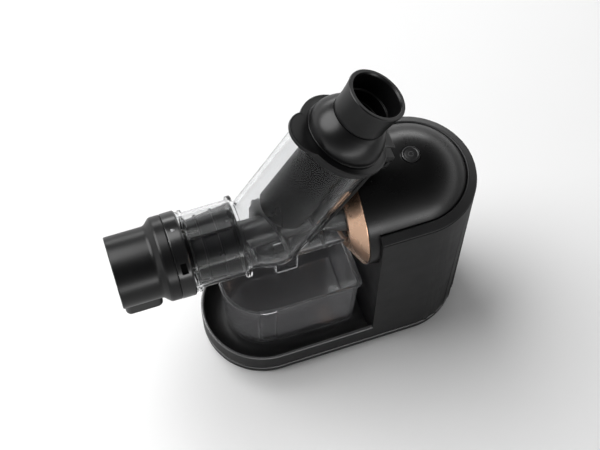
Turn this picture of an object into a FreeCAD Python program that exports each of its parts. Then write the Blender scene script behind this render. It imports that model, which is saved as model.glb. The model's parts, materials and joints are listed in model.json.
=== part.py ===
import FreeCAD, Part
import math
import os

V = FreeCAD.Vector
os.makedirs("parts", exist_ok=True)

# ---------------------------------------------------------------- sizes, mm
# The model is laid out about the centre of the stadium-shaped base and is
# moved along X on export, so that the row's origin is the centre of the
# bottom of the whole object's box.
SHIFT_X = 32.9

BASE_L, BASE_R = 240.0, 56.0          # stadium: length and end radius
BASE_C = BASE_L / 2 - BASE_R          # end circle centres at x = +-64
Z_FEET = 1.2                          # rubber feet stand proud of the plate
Z_PLATE = 4.2                         # top of the bottom plate
Z_SHELL = 5.0                         # bottom edge of the shell: shadow gap
Z_RIM = 31.0                          # rim of the base tray
Z_TOWER = 190.0                       # top edge of the tower's outer wall
X_TOWER = 22.0                        # front face of the tower
WALL = 2.6
BOWL_FLOOR, BOWL_R, BOWL_FLAT = 11.0, 17.0, 36.5

ZA = 170.7                            # height of the screw axis (along X)
HEAD_R, HEAD_X0 = 52.6, 13.3          # capsule-shaped head
CONE_X0, CONE_R0 = 2.4, 33.7          # small end of the metal cone ring
CONE_X1, CONE_R1 = 13.3, 52.35        # large end

TUBE_RO, TUBE_RI = 28.9, 26.6         # narrow clear tube
DRUM_RO, DRUM_RI = 31.5, 29.3         # wide clear drum in front
X_STEP, X_RIBS, X_RING0, X_RING1 = -80.0, -121.0, -138.0, -126.0
RING_R = 35.3

XF = -58.8                            # feed axis crosses the screw axis here
FEED_DEG = 60.0
FEED_RO, FEED_RI = 33.75, 30.75
T_BALL, T_TUBE, T_TRAY = 4.0, 125.0, 128.7
T_RIM, T_GROOVE, T_SHAFT0 = 176.2, 150.2, 30.0
SHAFT_R = 21.0

CAP_X0, CAP_R = -185.8, 29.7
SPOUT_X0, SPOUT_X1, SPOUT_Y, SPOUT_Z = -184.2, -152.2, 12.6, 113.9

GEAR_Z1, GEAR_Z2, GEAR_M = 40, 12, 1.0
GEAR_A = GEAR_M * (GEAR_Z1 + GEAR_Z2) / 2.0       # 26 mm centre distance
ZC, ZM = ZA - GEAR_A, ZA - 2 * GEAR_A             # countershaft, motor axis

BTN_X, BTN_R, BTN_HOLE = 63.5, 7.6, 8.0

LIFT = 20.0                           # the container lifts this far to clear the rim

made = {}


def out(name, shape):
    if len(shape.Solids) == 1:
        shape = shape.Solids[0]
    shape = shape.copy()
    shape.translate(V(SHIFT_X, 0, 0))
    made[name] = shape
    ok = shape.isValid() and shape.Volume > 0
    bb = shape.optimalBoundingBox(False, False)
    print("%-20s solids %2d vol %10.1f %s  x %.1f..%.1f y %.1f..%.1f z %.1f..%.1f" % (
        name, len(shape.Solids), shape.Volume, "ok" if ok else "BAD",
        bb.XMin, bb.XMax, bb.YMin, bb.YMax, bb.ZMin, bb.ZMax))
    shape.exportStep("parts/%s.step" % name)


# ---------------------------------------------------------------- helpers
def fuse(*s):
    s = list(s)
    r = s[0].multiFuse(s[1:]) if len(s) > 1 else s[0]
    return r.removeSplitter()


def box(x0, x1, y0, y1, z0, z1):
    return Part.makeBox(x1 - x0, y1 - y0, z1 - z0, V(x0, y0, z0))


def cyl(r, p, d, h):
    return Part.makeCylinder(r, h, V(*p), V(*d))


def cylx(r, x0, x1, y=0.0, z=ZA):
    return cyl(r, (x0, y, z), (1, 0, 0), x1 - x0)


def tubex(ro, ri, x0, x1, y=0.0, z=ZA):
    return cylx(ro, x0, x1, y, z).cut(cylx(ri, x0 - 1, x1 + 1, y, z))


def wire(pts):
    """closed wire in a plane from 2-D points; ('a', mid, end) is an arc"""
    edges = []
    first = cur = V(pts[0][0], 0, pts[0][1])
    for p in list(pts[1:]) + [pts[0]]:
        if p[0] == "a":
            mid, end = V(p[1][0], 0, p[1][1]), V(p[2][0], 0, p[2][1])
            edges.append(Part.Arc(cur, mid, end).toShape())
        else:
            end = V(p[0], 0, p[1])
            if end.distanceToPoint(cur) < 1e-7:
                continue
            edges.append(Part.LineSegment(cur, end).toShape())
        cur = end
    return Part.Wire(edges)


def spin(pts, deg=360.0):
    """revolve a profile of (station, radius) about the local X axis"""
    f = Part.Face(wire(pts))
    return f.revolve(V(0, 0, 0), V(1, 0, 0), deg)


def revx(pts):
    s = spin(pts)
    s.translate(V(0, 0, ZA))
    return s


FEED_PL = FreeCAD.Placement(V(XF, 0, ZA), FreeCAD.Rotation(V(0, 1, 0), -FEED_DEG))


def to_feed(s):
    """local X becomes the feed axis, local Y stays Y"""
    s = s.copy()
    s.Placement = FEED_PL.multiply(s.Placement)
    return s


def revf(pts):
    return to_feed(spin(pts))


def stadium(L, R, z0, z1):
    c = L / 2 - R
    return fuse(box(-c, c, -R, R, z0, z1), cyl(R, (-c, 0, z0), (0, 0, 1), z1 - z0),
                cyl(R, (c, 0, z0), (0, 0, 1), z1 - z0))


def round_end(pts, cx, x_end, sign):
    """profile of (radius, z) turned half round x = cx and run straight to x_end"""
    f = Part.Face(wire(pts))
    f.translate(V(cx, 0, 0))
    turned = f.revolve(V(cx, 0, 0), V(0, 0, 1), 360.0)
    side = Part.Face(wire(pts))
    side.rotate(V(0, 0, 0), V(0, 0, 1), -90)      # radius now along -Y
    side.translate(V(cx, 0, 0))
    a = side.extrude(V(x_end - cx, 0, 0))
    b = a.mirror(V(0, 0, 0), V(0, 1, 0))
    half = box(cx - 200, cx, -200, 200, -50, 400) if sign < 0 else box(cx, cx + 200, -200, 200, -50, 400)
    return fuse(turned.common(half), a, b)


def gear(z, m, width, bore, backlash=0.10, add=0.78, ded=1.12, phase=0.0, at=(0.0, 0.0, 0.0)):
    """spur gear along +X with involute flanks; phase in teeth"""
    rp, al = m * z / 2.0, math.radians(20)
    rb, ra, rr = rp * math.cos(al), rp + add * m, rp - ded * m
    half = math.pi / (2 * z) - backlash / rp / 2
    inv = math.tan(al) - al
    pts = []
    for k in range(z):
        c = 2 * math.pi * (k + phase) / z
        fl = []
        r0 = max(rb, rr)
        if rr < rb:
            fl.append((rr, half + inv + 0.006))
        for i in range(5):
            r = r0 + (ra - r0) * i / 4.0
            t = math.acos(min(1.0, rb / r))
            fl.append((r, half + inv - (math.tan(t) - t)))
        for r, a in fl:
            pts.append((r, c - a))
        for r, a in reversed(fl):
            pts.append((r, c + a))
    vs = [V(at[0], at[1] + r * math.sin(a), at[2] + r * math.cos(a)) for r, a in pts]
    w = Part.makePolygon(vs + [vs[0]])
    g = Part.Face(w).extrude(V(width, 0, 0))
    if bore > 0:
        g = g.cut(cyl(bore, (at[0] - 1, at[1], at[2]), (1, 0, 0), width + 2))
    return g


# ================================================================ base
bowl_pts = [(0, BOWL_FLOOR), (BOWL_FLAT, BOWL_FLOOR),
            ("a", (BOWL_FLAT + BOWL_R * math.sin(math.pi / 4), BOWL_FLOOR + BOWL_R * (1 - math.cos(math.pi / 4))),
             (BOWL_FLAT + BOWL_R, BOWL_FLOOR + BOWL_R)),
            (BOWL_FLAT + BOWL_R, Z_RIM + 6), (0, Z_RIM + 6)]
br2 = BOWL_R + WALL
skin_pts = [(0, BOWL_FLOOR - WALL), (BOWL_FLAT, BOWL_FLOOR - WALL),
            ("a", (BOWL_FLAT + br2 * math.sin(math.pi / 4), BOWL_FLOOR + BOWL_R - br2 * math.cos(math.pi / 4)),
             (BOWL_FLAT + br2, BOWL_FLOOR + BOWL_R)),
            (BOWL_FLAT + br2, Z_RIM + 8), (0, Z_RIM + 8)]
bowl = round_end(bowl_pts, -BASE_C, X_TOWER, -1)
skin = round_end(skin_pts, -BASE_C, X_TOWER + WALL, -1)

shell = fuse(stadium(BASE_L, BASE_R, Z_SHELL, Z_RIM),
             stadium(BASE_L, BASE_R, Z_SHELL, Z_TOWER).common(box(X_TOWER, 130, -60, 60, Z_SHELL, Z_TOWER)))
under = stadium(BASE_L - 2 * WALL, BASE_R - WALL, Z_SHELL - 1, Z_RIM + 0.5).cut(skin)
inside = stadium(BASE_L - 2 * WALL, BASE_R - WALL, Z_SHELL - 1, Z_TOWER + 5).common(
    box(X_TOWER + WALL, 130, -60, 60, 0, 300))
housing = shell.cut(bowl).cut(under).cut(inside)
housing = housing.cut(cylx(HEAD_R + 0.3, X_TOWER - 5, X_TOWER + WALL + 3))
# screw bosses under the tray and in the tower foot
boss_xy = [(-98, 0), (-64, -40.0), (-64, 40.0), (40, -42.0), (40, 42.0), (104, 0)]
bosses = []
for bx, by in boss_xy:
    if bx < 0:
        b = cyl(3.6, (bx, by, Z_SHELL - 0.8), (0, 0, 1), 8.0).cut(bowl)
    else:
        b = cyl(4.2, (bx, by, Z_SHELL - 0.8), (0, 0, 1), 16.0)
    bosses.append(b)
# two ribs tie the tower bosses to the side walls
for sy in (-1, 1):
    y0, y1 = sorted((sy * 45.5, sy * (BASE_R - WALL + 0.4)))
    bosses.append(box(38.6, 41.4, y0, y1, Z_SHELL + 1, 19))
bosses.append(box(107.5, 118.0, -1.4, 1.4, Z_SHELL + 1, 19))
housing = fuse(housing, *bosses)
for bx, by in boss_xy:
    housing = housing.cut(cyl(1.45, (bx, by, 0), (0, 0, 1), 9.2 if bx < 0 else 17))
# cord inlet hole, low in the back of the tower
CORD_DIR = V(math.cos(math.radians(45)), math.sin(math.radians(45)), 0)
CORD_AT = V(BASE_C, 0, 20.0) + CORD_DIR * (BASE_R - WALL)
p0 = CORD_AT - CORD_DIR * 6
housing = housing.cut(cyl(5.2, (p0.x, p0.y, p0.z), (CORD_DIR.x, CORD_DIR.y, 0), 14))
out("main_housing", housing)

plate = stadium(BASE_L - 1.0, BASE_R - 0.5, Z_FEET, Z_PLATE)
for bx, by in boss_xy:
    plate = plate.cut(cyl(1.7, (bx, by, 0), (0, 0, 1), 10)).cut(cyl(3.4, (bx, by, 0), (0, 0, 1), Z_FEET + 1.4))
feet_xy = [(-84, -30), (-84, 30), (84, -30), (84, 30), (0, -42), (0, 42)]
for fx, fy in feet_xy:
    plate = plate.cut(cyl(8.2, (fx, fy, 0), (0, 0, 1), Z_FEET + 1.2))
for i in range(9):                              # cooling slots below the motor
    x = 50 + 5.5 * i
    plate = plate.cut(box(x, x + 2.4, -21, 21, 0, 10))
out("bottom_plate", plate)
out("rubber_feet", Part.makeCompound([fuse(cyl(8.0, (fx, fy, Z_FEET), (0, 0, 1), 1.15),
                                           Part.makeCone(7.0, 7.8, Z_FEET, V(fx, fy, 0))) for fx, fy in feet_xy]))
scr = []
for bx, by in boss_xy:
    h = 8.9 if bx < 0 else 16.5
    scr.append(fuse(cyl(3.1, (bx, by, Z_FEET + 0.1), (0, 0, 1), 1.3), cyl(1.4, (bx, by, Z_FEET + 1.4), (0, 0, 1), h - 2.6))
               .cut(box(bx - 2.2, bx + 2.2, by - 0.45, by + 0.45, 0, Z_FEET + 0.9))
               .cut(box(bx - 0.45, bx + 0.45, by - 2.2, by + 2.2, 0, Z_FEET + 0.9)))
out("plate_screws", Part.makeCompound(scr))

# stepped bush in the cord hole
gl = fuse(cyl(5.1, (0, 0, -2.4), (0, 0, 1), 6.0), cyl(7.4, (0, 0, 2.65), (0, 0, 1), 2.2),
          cyl(6.4, (0, 0, -2.4), (0, 0, 1), 1.8)).cut(cyl(3.4, (0, 0, -9), (0, 0, 1), 20))
gl.Placement = FreeCAD.Placement(CORD_AT, FreeCAD.Rotation(V(0, 0, 1), CORD_DIR))
out("cord_inlet", gl)

# sloped bezel ring round the top of the tower
bez = [(BASE_R, Z_TOWER + 0.05), (47.5, 194.5), (48.3, 192.0), (49.4, 190.0), (50.6, 187.0), (53.2, 187.0), (53.2, 190.05)]
out("top_bezel", round_end(bez, BASE_C, X_TOWER, 1).cut(box(X_TOWER - 1, X_TOWER + WALL + 0.2, -60, 60, 180, Z_TOWER + 0.05)))

# ================================================================ head
cap_o = fuse(cylx(HEAD_R, HEAD_X0, BASE_C), Part.makeSphere(HEAD_R, V(BASE_C, 0, ZA)))
cap_i = fuse(cylx(HEAD_R - 2.5, HEAD_X0 - 1, BASE_C), Part.makeSphere(HEAD_R - 2.5, V(BASE_C, 0, ZA)))
keep = fuse(box(HEAD_X0, 130, -60, 60, 184.0, 240), box(HEAD_X0, 26.0, -60, 60, 100, 240))
head = cap_o.cut(cap_i).common(keep)
head = head.cut(cyl(BTN_HOLE, (BTN_X, 0, 210), (0, 0, 1), 30))
head = head.cut(Part.makeTorus(8.7, 0.35, V(BTN_X, 0, 223.45)))
guide = cyl(9.6, (BTN_X, 0, 212.5), (0, 0, 1), 8.5).cut(cyl(BTN_HOLE, (BTN_X, 0, 200), (0, 0, 1), 30))
head = fuse(head, guide)
out("head_cover", head)

out("cone_ring", revx([(CONE_X1 - 0.15, CONE_R1), (CONE_X0, CONE_R0), (CONE_X0, 29.25), (5.0, 29.25), (5.0, 34.4),
                       (CONE_X1 - 0.15, 48.9)]))
out("chamber_socket", revx([(5.3, 29.25), (5.3, 31.6), (13.6, 31.6), (13.6, 49.8), (17.0, 49.8), (17.0, 12.0),
                            (14.5, 12.0), (14.5, 29.25)]))
out("shaft_seal", tubex(12.0, 6.97, 14.5, 17.0))

out("power_button", fuse(cyl(BTN_R, (BTN_X, 0, 214.2), (0, 0, 1), 8.4),
                         Part.makeSphere(40.0, V(BTN_X, 0, 183.85)).common(cyl(BTN_R, (BTN_X, 0, 222.0), (0, 0, 1), 3)))
    .cut(cyl(5.6, (BTN_X, 0, 213), (0, 0, 1), 5.4)))
out("button_spring", cyl(4.7, (BTN_X, 0, 211.35), (0, 0, 1), 7.0).cut(cyl(3.9, (BTN_X, 0, 200), (0, 0, 1), 30)))
out("power_switch", fuse(box(BTN_X - 5, BTN_X + 5, -5, 5, 206.6, 211.3), cyl(2.4, (BTN_X, 0, 211.0), (0, 0, 1), 6.0)))
out("switch_board", box(BTN_X - 16, BTN_X + 16, -10, 10, 205.0, 206.6))
sb = fuse(box(BTN_X - 18, BTN_X + 18, -12, 12, 203.0, 205.0), box(BTN_X - 18, BTN_X - 16.4, -12, 12, 203.0, 224.0),
          box(BTN_X + 16.4, BTN_X + 18, -12, 12, 203.0, 224.0))
sb = sb.common(fuse(cylx(HEAD_R - 2.55, HEAD_X0, BASE_C), Part.makeSphere(HEAD_R - 2.55, V(BASE_C, 0, ZA))))
out("switch_bracket", sb)

# ================================================================ drive
case = fuse(cylx(24.0, 17.0, 26.5), box(26.2, 49.0, -25, 25, 104.0, 196.0))
case = case.cut(box(28.5, 60, -22, 22, 107.0, 193.0)).cut(cylx(13.0, 18.4, 30)).cut(cylx(7.4, 10, 30))
case = case.cut(cylx(3.05, 26.0, 40, 0, ZC))
out("gearbox_case", case)
cover = box(49.0, 51.5, -25, 25, 104.0, 196.0).cut(cylx(3.05, 40, 60, 0, ZC)).cut(cylx(5.0, 40, 60, 0, ZM))
out("gearbox_cover", cover)
out("output_bearing", tubex(13.0, 5.05, 18.4, 25.4))

hexw = Part.makePolygon([V(-16.0, 6.93 * math.cos(math.radians(60 * k)), ZA + 6.93 * math.sin(math.radians(60 * k)))
                         for k in range(7)])
shaft = fuse(Part.Face(hexw).extrude(V(28.6, 0, 0)), cylx(6.92, 12.4, 18.2), cylx(5.0, 18.0, 40.0))
out("output_shaft", shaft)
out("output_gear", gear(GEAR_Z1, GEAR_M, 8.0, 5.0, at=(30.0, 0, ZA), phase=0.5))
# the tooth of the small wheel points up (+Z) into the gap of the big wheel
out("counter_shaft", cylx(3.0, 26.3, 50.8, 0, ZC))
out("counter_pinion", gear(GEAR_Z2, GEAR_M, 8.4, 3.0, at=(29.8, 0, ZC), phase=0.0))
out("counter_gear", gear(GEAR_Z1, GEAR_M, 6.0, 3.0, at=(42.0, 0, ZC), phase=0.5))
out("rotor_pinion", gear(GEAR_Z2, GEAR_M, 6.4, 2.5, at=(41.8, 0, ZM), phase=0.0))

MR = 31.0
can = tubex(MR, MR - 1.6, 56.0, 92.0, 0, ZM)
out("motor_can", can)
fb = fuse(cylx(MR, 51.5, 56.0, 0, ZM).cut(cylx(MR - 7, 53.8, 60, 0, ZM)), cylx(8.0, 51.5, 56.0, 0, ZM)).cut(cylx(5.0, 40, 60, 0, ZM))
out("motor_front_bell", fb)
rb_ = fuse(cylx(MR, 92.0, 94.2, 0, ZM), cylx(8.0, 86.0, 94.0, 0, ZM)).cut(cylx(3.2, 80, 93.0, 0, ZM))
for k in range(6):
    a = math.radians(60 * k)
    rb_ = rb_.cut(cylx(5.0, 85, 96, 19 * math.cos(a), ZM + 19 * math.sin(a)))
out("motor_rear_bell", rb_)
mags = []
for s in (-1, 1):
    m = tubex(MR - 1.7, MR - 7.2, 60, 84, 0, ZM).common(box(59, 85, -22, 22, ZM if s > 0 else ZM - 40, ZM + 40 if s > 0 else ZM))
    mags.append(m)
out("motor_magnets", Part.makeCompound(mags))
rot = fuse(cylx(2.5, 41.0, 92.6, 0, ZM), cylx(22.8, 62, 82, 0, ZM))
for k in range(12):
    a = math.radians(30 * k)
    rot = rot.cut(cylx(2.2, 60, 84, 21.5 * math.cos(a), ZM + 21.5 * math.sin(a)))
out("motor_rotor", rot)
out("motor_bearings", Part.makeCompound([tubex(5.0, 2.55, 51.6, 55.9, 0, ZM), tubex(3.2, 2.55, 87.0, 92.0, 0, ZM)]))
blades = [cylx(5.0, 56.6, 60.4, 0, ZM)]
for k in range(9):
    bl = box(56.8, 60.2, 4.0, 21.5, -0.7, 0.7)
    bl.rotate(V(0, 0, 0), V(1, 0, 0), 40 * k)
    bl.translate(V(0, 0, ZM))
    blades.append(bl)
out("cooling_fan", fuse(*blades).cut(cylx(2.5, 50, 70, 0, ZM)))
strut = fuse(box(52.2, 92.0, -26, 26, 24.0, 27.0), box(52.2, 56.0, -14, 14, 27, 97.0), box(88.0, 92.0, -14, 14, 27, 97.0),
             box(52.2, 92.0, 11, 14, 27, 45), box(52.2, 92.0, -14, -11, 27, 45),
             *[box(x, x + 6, y, y + 3, Z_PLATE, 24.5) for x in (54, 84) for y in (-26, 23)])
strut = strut.cut(cylx(MR + 0.05, 50, 95, 0, ZM))
out("motor_cradle", strut)
out("control_board", box(56.5, 87.5, -10.5, 10.5, 33.0, 34.6))
comps = [box(59, 69, -8, 2, 34.6, 46), box(72, 84, -8, 4, 34.6, 42), cyl(3.5, (64, 6.5, 34.6), (0, 0, 1), 12)]
out("board_parts", Part.makeCompound(comps))
out("board_posts", Part.makeCompound([cyl(2.0, (x, y, 27.0), (0, 0, 1), 6.0) for x in (59, 85) for y in (-8.2, 8.2)]))

# ================================================================ screw (auger)
X_SC0, X_SC1 = 12.0, -116.0
core = revx([(12.0, 0), (12.0, 25.9), (9.0, 25.9), (6.0, 21.0), (-22.0, 12.5), (-82.0, 12.0), (-116.5, 9.2), (-118.2, 7.6),
             (-118.2, 4.0), (-127.2, 4.0), (-128.0, 3.2), (-128.0, 0)])
PITCH = 29.0


def flight(x0, x1, pitch, r_in, r_out, w_in, w_out, per_turn=24, span=8):
    """helical flight about the screw axis, tapered by r_out(x)"""
    n = int(abs(x1 - x0) / pitch * per_turn) // span * span
    rows = [[], [], [], []]
    for i in range(n + 1):
        x = x0 + (x1 - x0) * i / n
        ang = 2 * math.pi * (x0 - x) / pitch
        for k, (dx, r) in enumerate(((-w_in / 2, r_in), (-w_out / 2, r_out(x)), (w_out / 2, r_out(x)), (w_in / 2, r_in))):
            rows[k].append(V(x + dx, r * math.sin(ang), ZA + r * math.cos(ang)))
    faces = []
    for j in range(0, n, span):
        cs = []
        for r in rows:
            b = Part.BSplineCurve()
            b.interpolate(Points=r[j:j + span + 1], InitialTangent=r[j + 1] - r[max(0, j - 1)],
                          FinalTangent=r[min(n, j + span + 1)] - r[j + span - 1])
            cs.append(b.toShape())
        faces += [Part.makeRuledSurface(cs[k], cs[(k + 1) % 4]) for k in range(4)]
    for idx in (0, -1):
        q = [rows[k][idx] for k in range(4)]
        faces.append(Part.Face(Part.makePolygon(q + [q[0]])))
    sh = Part.makeShell(faces)
    sh.sewShape()
    so = Part.makeSolid(sh)
    if so.Volume < 0:
        so.reverse()
    return so


screw = fuse(core, flight(3.5, -114.0, PITCH, 8.5, lambda x: 25.9 if x > -82 else 25.9 - 9.0 * (-82 - x) / 34.0, 4.0, 2.8))
hexs = Part.makePolygon([V(-16.5, 6.99 * math.cos(math.radians(60 * k)), ZA + 6.99 * math.sin(math.radians(60 * k)))
                         for k in range(7)])
screw = screw.cut(Part.Face(hexs).extrude(V(30, 0, 0)))
out("auger_screw", screw)

# ================================================================ juicing chamber
outer = fuse(cylx(TUBE_RO, X_STEP, 12.0), cylx(DRUM_RO, -144.4, X_STEP),
             revf([(T_BALL - FEED_RO, 0), ("a", (T_BALL - FEED_RO * math.sin(math.radians(45)), FEED_RO * math.cos(math.radians(45))),
                                           (T_BALL, FEED_RO)), (T_TUBE, FEED_RO), (T_TUBE, 0)]))
inner = fuse(cylx(TUBE_RI, X_STEP - 2, 20.0), cylx(DRUM_RI, -150.0, X_STEP - 2.0),
             revf([(T_BALL - FEED_RI, 0), ("a", (T_BALL - FEED_RI * math.sin(math.radians(45)), FEED_RI * math.cos(math.radians(45))),
                                           (T_BALL, FEED_RI)), (T_TUBE + 5, FEED_RI), (T_TUBE + 5, 0)]))
CH_X0, CH_X1, CH_Y, CH_Z = -53.0, -36.0, 12.0, 110.2
flange = fuse(tubex(34.2, 30.5, -83.2, -80.0), tubex(34.0, 30.5, -123.4, -121.0), tubex(33.4, 30.5, -126.0, -124.6))
chute = box(CH_X0 - 1.8, CH_X1 + 1.8, -CH_Y - 1.8, CH_Y + 1.8, CH_Z, 150.0)
chute = chute.makeFillet(3.0, [e for e in chute.Edges if abs(e.Vertexes[0].Z - e.Vertexes[1].Z) > 10])
chamber = fuse(outer, flange, chute).cut(inner)
hole = box(CH_X0, CH_X1, -CH_Y, CH_Y, CH_Z - 5, 156.0)
chamber = chamber.cut(hole)
out("juice_chamber", chamber)
out("chamber_seal", tubex(29.0, 26.7, 12.05, 14.2))

ring = revx([(X_RING0, 31.55), (X_RING0, RING_R), (X_RING1 - 1.0, RING_R), (X_RING1, RING_R - 1.0), (X_RING1, 31.55)])
for ang in (-48, 132):                          # windows over the locking lugs
    w = box(-134.7, -129.7, -4.5, 4.5, RING_R - 1.6, RING_R + 5)
    w.rotate(V(0, 0, 0), V(1, 0, 0), -ang)
    w.translate(V(0, 0, ZA))
    ring = ring.cut(w)
out("lock_ring", ring)

strn = revx([(-82.2, 26.8), (-82.2, 29.1), (-84.0, 29.1), (-84.0, 27.5), (-97.4, 23.8), (-97.4, 24.9), (-99.6, 24.3), (-99.6, 23.2),
             (-111.4, 20.0), (-111.4, 21.2), (-113.6, 20.6), (-113.6, 19.4), (-115.0, 19.0), (-119.6, 19.0), (-119.6, 26.9),
             (-121.4, 26.9), (-121.4, 19.0), (-129.0, 17.0), (-129.0, 7.0), (-124.0, 7.0), (-124.0, 15.6), (-120.0, 17.6), (-115.0, 17.6),
             (-84.0, 26.4)])
for k in range(18):
    a = 20.0 * k + 6.0
    for xa, xb, rr in ((-95.6, -84.6, 27.0), (-110.0, -101.4, 23.5)):
        s = box(xa, xb, -0.7, 0.7, 14.0, 32.0)
        s.rotate(V(0, 0, 0), V(1, 0, 0), a)
        s.translate(V(0, 0, ZA))
        strn = strn.cut(s)
for k in range(8):                              # juice openings in the front flange
    a = 45.0 * k
    s = box(-123, -119, -4.5, 4.5, 20.6, 25.2)
    s.rotate(V(0, 0, 0), V(1, 0, 0), a)
    s.translate(V(0, 0, ZA))
    strn = strn.cut(s)
out("strainer", strn)
frame = [tubex(29.15, 27.05, -123.2, -121.5), tubex(29.15, 27.9, -87.0, -84.3)]
for ang in (10, 130, 250):                      # three long ribs inside the drum
    rib = box(-122.0, -85.0, -0.9, 0.9, 27.95, 29.1)
    rib.rotate(V(0, 0, 0), V(1, 0, 0), ang)
    rib.translate(V(0, 0, ZA))
    frame.append(rib)
out("strainer_frame", fuse(*frame))
out("front_bush", tubex(7.0, 4.05, -129.0, -124.0))

# ---- feed tray on the tube: u runs across the tube in the upright plane, v along Y
tray = revf([(T_TUBE - 9.0, FEED_RO + 0.1), (T_TUBE - 9.0, 35.6), (T_TUBE, 36.2), (T_TUBE, 37.0), (T_TRAY, 37.0), (T_TRAY, 29.6),
             (T_TUBE + 0.1, 29.6), (T_TUBE + 0.1, FEED_RO + 0.1)])
lobe = cyl(22.5, (T_TUBE, 0, 28.5), (1, 0, 0), T_TRAY - T_TUBE)
hook = fuse(box(T_TUBE, T_TRAY, -11, 9, -44.0, -33.0), box(T_TUBE - 8, T_TRAY, -22, -8, -40.0, -33.0), box(T_TUBE - 11, T_TUBE - 5, -22, -8, -40.0, -37.4))
side = fuse(*[to_feed(s) for s in (lobe, hook)])
tray = fuse(tray, side).cut(revf([(T_TUBE - 20, 0), (T_TUBE - 20, FEED_RO + 0.1), (T_TUBE + 0.1, FEED_RO + 0.1), (T_TUBE + 0.1, 29.6),
                                  (T_TRAY + 5, 29.6), (T_TRAY + 5, 0)]))
# shallow dish in the lobe
dish = cyl(19.5, (T_TRAY - 1.6, 0, 28.5), (1, 0, 0), 5).cut(cyl(34.4, (T_TRAY - 5, 0, 0), (1, 0, 0), 20))
tray = tray.cut(to_feed(dish))
out("feed_tray", tray)

# ================================================================ pusher
T_BELL = T_TRAY + 0.05
body_pts = [(T_SHAFT0, 0), (T_SHAFT0, 17.5), ("a", (T_SHAFT0 + 1.03, 19.97), (T_SHAFT0 + 3.5, SHAFT_R)), (T_BELL, SHAFT_R),
            (T_BELL, 31.2), ("a", (139.5, 29.2), (T_GROOVE, 21.9)), (T_GROOVE, 18.3), (139.0, 18.3), (139.0, 14.5), (T_SHAFT0 + 26, 14.0),
            (T_SHAFT0 + 26, 0)]
# the bottom of the shaft is scooped to clear the screw
out("pusher_body", revf(body_pts).cut(cylx(27.0, -120, 40)))
cup_pts = [(T_GROOVE + 0.05, 21.1), ("a", (163.6, 22.0), (T_RIM - 0.6, 23.6)), (T_RIM, 23.4), (T_RIM, 20.0), (T_RIM - 3.0, 19.5),
           (159.0, 18.6), (159.0, 17.2), (139.05, 16.4), (139.05, 18.25), (T_GROOVE + 0.05, 18.25)]
out("pusher_cup", revf(cup_pts))

# ================================================================ front cap with juice spout
cap_out = [(CAP_X0, 0), (CAP_X0, CAP_R - 0.4), (CAP_X0 + 0.4, CAP_R), (-152.0, CAP_R), ("a", (-148.6, 31.2), (-146.0, 34.5)),
           (-140.0, 35.0), (-138.3, 35.0), (-138.3, 0)]
cap_in = [(CAP_X0 + 2.4, 0), (CAP_X0 + 2.4, CAP_R - 2.2), (-152.5, CAP_R - 2.2), (-150.5, 28.6), (-146.4, 29.4),
          (-146.4, 32.0), (-137, 32.0), (-137, 0)]
duct = box(SPOUT_X0, SPOUT_X1, -SPOUT_Y, SPOUT_Y, SPOUT_Z, ZA - 10)
duct = duct.makeFillet(5.0, [e for e in duct.Edges if abs(e.Vertexes[0].Z - e.Vertexes[1].Z) > 10])
duct_i = box(SPOUT_X0 + 2, SPOUT_X1 - 2, -SPOUT_Y + 2, SPOUT_Y - 2, SPOUT_Z - 5, ZA - 20)
duct_i = duct_i.makeFillet(3.2, [e for e in duct_i.Edges if abs(e.Vertexes[0].Z - e.Vertexes[1].Z) > 10])
cap = fuse(revx(cap_out), duct).cut(revx(cap_in)).cut(duct_i)
out("front_cap", cap)
out("cap_seal", tubex(31.9, 29.6, -146.3, -144.6))

# ================================================================ pulp container
def outline(r, xf, z):
    """front half circle about x = -64, straight sides, rounded back corners"""
    c = -64.0
    k = 5.0
    q = k * (1 - math.sqrt(0.5))
    pts = [V(c, -r, z), V(xf - k, -r, z)]
    e = [Part.LineSegment(V(c, -r, z), V(xf - k, -r, z)).toShape(),
         Part.Arc(V(xf - k, -r, z), V(xf - q, -r + q, z), V(xf, -r + k, z)).toShape(),
         Part.LineSegment(V(xf, -r + k, z), V(xf, r - k, z)).toShape(),
         Part.Arc(V(xf, r - k, z), V(xf - q, r - q, z), V(xf - k, r, z)).toShape(),
         Part.LineSegment(V(xf - k, r, z), V(c, r, z)).toShape(),
         Part.Arc(V(c, r, z), V(c - r, 0, z), V(c, -r, z)).toShape()]
    return Part.Wire(e)


CZ0, CZ1, CZF = 11.05, 88.0, 13.6
c_out = Part.makeLoft([outline(34.6, 12.6, CZ0), outline(36.8, 14.6, CZ1)], True, True)
c_in = Part.makeLoft([outline(32.4, 10.3, CZF), outline(34.7, 12.4, CZ1 + 1.0)], True, True)
rim = Part.Face(outline(37.6, 17.5, CZ1 - 2.2)).extrude(V(0, 0, 2.2))
lip = Part.makeCylinder(7.0, 2.2, V(-102.5, 0, CZ1 - 2.2))
cont = fuse(c_out, rim, lip).cut(c_in)
# shallow upright grip recess in the near wall, open through the rim
rec = box(-75.5, -61.0, -50, -34.9, 24.0, CZ1 + 1)
pocket_o = box(-77.5, -59.0, -35.4, -32.6, CZ0 + 2.0, CZ1 - 1.2)
cont = fuse(cont, pocket_o).cut(rec)
out("pulp_container", cont)

# ---------------------------------------------------------------- box of the whole
xs = [s.optimalBoundingBox(False, False) for s in made.values()]
print("all x %.2f..%.2f y %.2f..%.2f z %.2f..%.2f nodes %d" % (
    min(b.XMin for b in xs), max(b.XMax for b in xs), min(b.YMin for b in xs), max(b.YMax for b in xs),
    min(b.ZMin for b in xs), max(b.ZMax for b in xs), len(made)))
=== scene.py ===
import json
import math

import bmesh
import bpy
from mathutils import Matrix, Vector


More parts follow.
